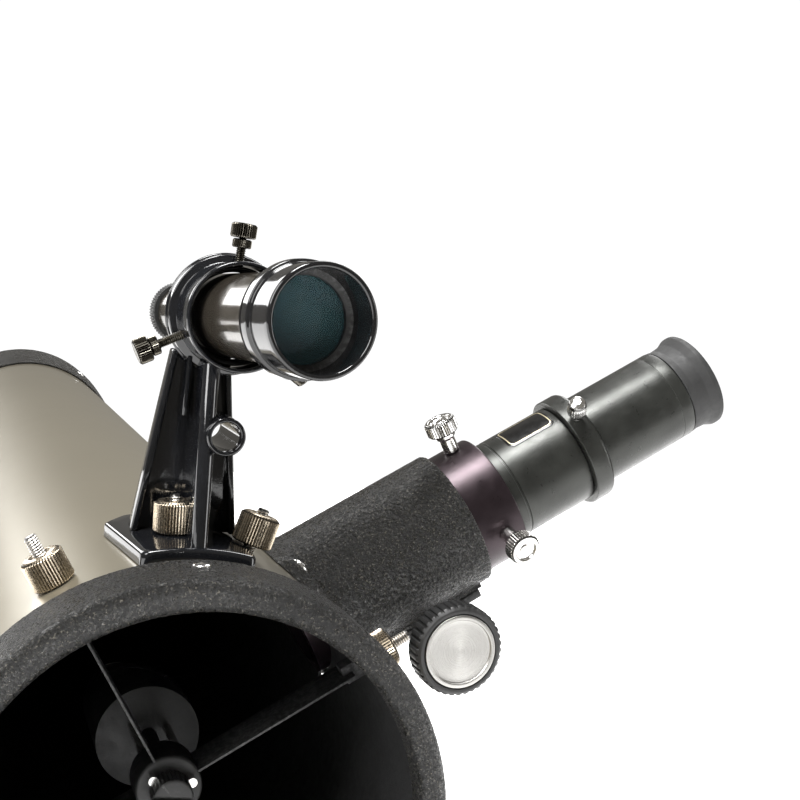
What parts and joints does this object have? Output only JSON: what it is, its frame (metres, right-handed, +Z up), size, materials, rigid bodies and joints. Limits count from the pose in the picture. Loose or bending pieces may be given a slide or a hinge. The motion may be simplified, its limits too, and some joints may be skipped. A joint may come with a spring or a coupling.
{
  "type": "newtonian reflector telescope",
  "caption": "Newtonian reflector tube with rack focuser, Barlow, eyepiece, finder scope on a bracket, collimating mirror cells, tube saddles and dovetail bar.",
  "frame": {"origin": "middle of the dovetail bar's underside, below the tube axis at the balance point", "axes": "+Y along the tube from the open front end to the mirror end, +Z up from the dovetail through the tube axis, +X to the focuser's side"},
  "size_m": [0.2889, 0.9002, 0.2705],
  "materials": {
    "tube_paint": "glossy metallic champagne paint",
    "wrinkle_paint": "coarse black wrinkle paint on castings",
    "bracket_plastic": "gloss black moulded plastic",
    "finder_gloss": "gloss black",
    "finder_bronze": "dark bronze gloss",
    "plum_anodised": "satin plum-black anodised",
    "black_anodised": "satin black anodised",
    "nickel": "warm nickel plate, knurled",
    "bright_steel": "bright steel",
    "black_rubber": "matte black rubber",
    "black_matte": "matte black",
    "cast_grey": "black-painted cast aluminium",
    "mirror_coating": "aluminised first-surface mirror",
    "lens_glass": "coated optical glass",
    "spun_aluminium": "spun aluminium knob cap",
    "label": "black plate with a thin gold border, no text"
  },
  "bodies": {
    "tube_assembly": {"main_tube": "tube_paint", "front_ring": "wrinkle_paint", "rear_ring": "wrinkle_paint", "spider_hub": "black_matte", "spider_vane_1": "black_matte", "spider_vane_2": "black_matte", "spider_vane_3": "black_matte", "spider_vane_4": "black_matte", "spider_nut_1": "nickel", "spider_nut_2": "nickel", "spider_nut_3": "nickel", "spider_nut_4": "nickel", "focuser_housing": "wrinkle_paint", "pinion_cover": "black_matte", "finder_bracket": "bracket_plastic", "bracket_stud_1": "bright_steel", "bracket_stud_2": "bright_steel", "tube_saddle_front": "cast_grey", "tube_saddle_rear": "cast_grey", "dovetail_bar": "cast_grey"},
    "mirror_carrier": {"mirror_cell": "cast_grey", "primary_mirror": "mirror_coating"},
    "secondary_stalk": {"secondary_bolt": "black_matte"},
    "secondary_head": {"secondary_holder": "black_matte", "secondary_mirror": "mirror_coating"},
    "drawtube_slide": {"drawtube": "plum_anodised", "focus_rack": "nickel"},
    "pinion": {"pinion_shaft": "nickel", "focus_knob_front": "black_rubber", "focus_knob_rear": "black_rubber"},
    "barlow": {"barlow_body": "black_anodised", "barlow_collar": "black_anodised", "barlow_lens": "lens_glass"},
    "eyepiece": {"eyepiece_barrel": "nickel", "eyepiece_body": "black_anodised", "eyecup": "black_rubber", "eye_lens": "lens_glass"},
    "finder_seat": {"finder_o_ring": "black_rubber"},
    "finder": {"finder_tube": "finder_bronze", "dew_shield": "finder_gloss", "finder_objective": "lens_glass"},
    "finder_focuser": {"finder_focus_ring": "black_matte", "finder_eye_lens": "lens_glass"},
    "drawtube_screw_upper": {"drawtube_screw_upper": "bright_steel"},
    "drawtube_screw_lower": {"drawtube_screw_lower": "bright_steel"},
    "barlow_screw": {"barlow_screw": "bright_steel"},
    "collimation_screw_1": {"collimation_screw_1": "black_matte"},
    "finder_screw_1": {"finder_screw_1": "nickel"},
    "collimation_screw_2": {"collimation_screw_2": "black_matte"},
    "finder_screw_2": {"finder_screw_2": "nickel"},
    "collimation_screw_3": {"collimation_screw_3": "black_matte"},
    "finder_screw_3": {"finder_screw_3": "nickel"},
    "bracket_nut_1": {"bracket_nut_1": "nickel"},
    "bracket_nut_2": {"bracket_nut_2": "nickel"}
  },
  "joints": [
    {"name": "mirror_tilt", "type": "hinge", "parent": "tube_assembly", "child": "mirror_carrier", "pos_m": [0, 0.428, 0.1016], "axis": [1, 0, 0], "range_deg": [-1, 1]},
    {"name": "collimation_turn_1", "type": "hinge", "parent": "tube_assembly", "child": "collimation_screw_1", "pos_m": [0, 0.44, 0.0566], "axis": [0, 1, 0], "range_deg": [-360, 360]},
    {"name": "collimation_turn_2", "type": "hinge", "parent": "tube_assembly", "child": "collimation_screw_2", "pos_m": [-0.03897, 0.44, 0.1241], "axis": [0, 1, 0], "range_deg": [-360, 360]},
    {"name": "collimation_turn_3", "type": "hinge", "parent": "tube_assembly", "child": "collimation_screw_3", "pos_m": [0.03897, 0.44, 0.1241], "axis": [0, 1, 0], "range_deg": [-360, 360]},
    {"name": "secondary_turn", "type": "hinge", "parent": "tube_assembly", "child": "secondary_stalk", "pos_m": [0, -0.381, 0.1016], "axis": [0, 1, 0], "range_deg": [-10, 10]},
    {"name": "secondary_tilt", "type": "hinge", "parent": "secondary_stalk", "child": "secondary_head", "pos_m": [0, -0.344, 0.1016], "axis": [1, 0, 0], "range_deg": [-1.5, 1.5]},
    {"name": "focus_travel", "type": "slide", "parent": "tube_assembly", "child": "drawtube_slide", "axis": [0.8161, 0, 0.5779], "range_m": [-0.006, 0.04]},
    {"name": "focus_knob_turn", "type": "hinge", "parent": "tube_assembly", "child": "pinion", "pos_m": [0.10385, -0.3096, 0.13837], "axis": [0, 1, 0], "range_deg": [-90, 512]},
    {"name": "drawtube_screw_turn_upper", "type": "hinge", "parent": "drawtube_slide", "child": "drawtube_screw_upper", "pos_m": [0.11793, -0.3096, 0.1851], "axis": [-0.5764, -0.0698, 0.8141], "range_deg": [-360, 360]},
    {"name": "drawtube_screw_turn_lower", "type": "hinge", "parent": "drawtube_slide", "child": "drawtube_screw_lower", "pos_m": [0.11793, -0.3096, 0.1851], "axis": [0.1786, -0.9511, -0.2522], "range_deg": [-360, 360]},
    {"name": "barlow_pull", "type": "slide", "parent": "drawtube_slide", "child": "barlow", "axis": [0.8161, 0, 0.5779], "range_m": [0, 0.045]},
    {"name": "barlow_screw_turn", "type": "hinge", "parent": "barlow", "child": "barlow_screw", "pos_m": [0.15539, -0.3096, 0.21162], "axis": [-0.4157, -0.6947, 0.5871], "range_deg": [-360, 360]},
    {"name": "eyepiece_pull", "type": "slide", "parent": "barlow", "child": "eyepiece", "axis": [0.8161, 0, 0.5779], "range_m": [0, 0.028]},
    {"name": "finder_tilt", "type": "hinge", "parent": "tube_assembly", "child": "finder_seat", "pos_m": [-0.0003, -0.377, 0.2428], "axis": [1, 0, 0], "range_deg": [-1.5, 1.5]},
    {"name": "finder_swing", "type": "hinge", "parent": "finder_seat", "child": "finder", "pos_m": [-0.0003, -0.377, 0.2428], "axis": [0, 0, 1], "range_deg": [-8, 1]},
    {"name": "finder_focus_turn", "type": "hinge", "parent": "finder", "child": "finder_focuser", "pos_m": [-0.0003, -0.377, 0.2428], "axis": [-0.1096, 0.9932, -0.0401], "range_deg": [-180, 180]},
    {"name": "finder_screw_turn_1", "type": "hinge", "parent": "tube_assembly", "child": "finder_screw_1", "pos_m": [-0.0003, -0.375, 0.2428], "axis": [0, 0, 1], "range_deg": [-360, 360]},
    {"name": "finder_screw_turn_2", "type": "hinge", "parent": "tube_assembly", "child": "finder_screw_2", "pos_m": [-0.0003, -0.375, 0.2428], "axis": [-0.866, 0, -0.5], "range_deg": [-360, 360]},
    {"name": "finder_screw_turn_3", "type": "hinge", "parent": "tube_assembly", "child": "finder_screw_3", "pos_m": [-0.0003, -0.375, 0.2428], "axis": [0.866, 0, -0.5], "range_deg": [-360, 360]},
    {"name": "bracket_nut_turn_1", "type": "hinge", "parent": "tube_assembly", "child": "bracket_nut_1", "pos_m": [0, -0.374, 0.1016], "axis": [-0.0993, 0, 0.9951], "range_deg": [-360, 360]},
    {"name": "bracket_nut_turn_2", "type": "hinge", "parent": "tube_assembly", "child": "bracket_nut_2", "pos_m": [0, -0.374, 0.1016], "axis": [0.2233, 0, 0.9748], "range_deg": [-360, 360]}
  ],
  "couplings": [
    {"joint": "focus_knob_turn", "follows": "focus_travel", "rad_per_m": 222.22}
  ]
}
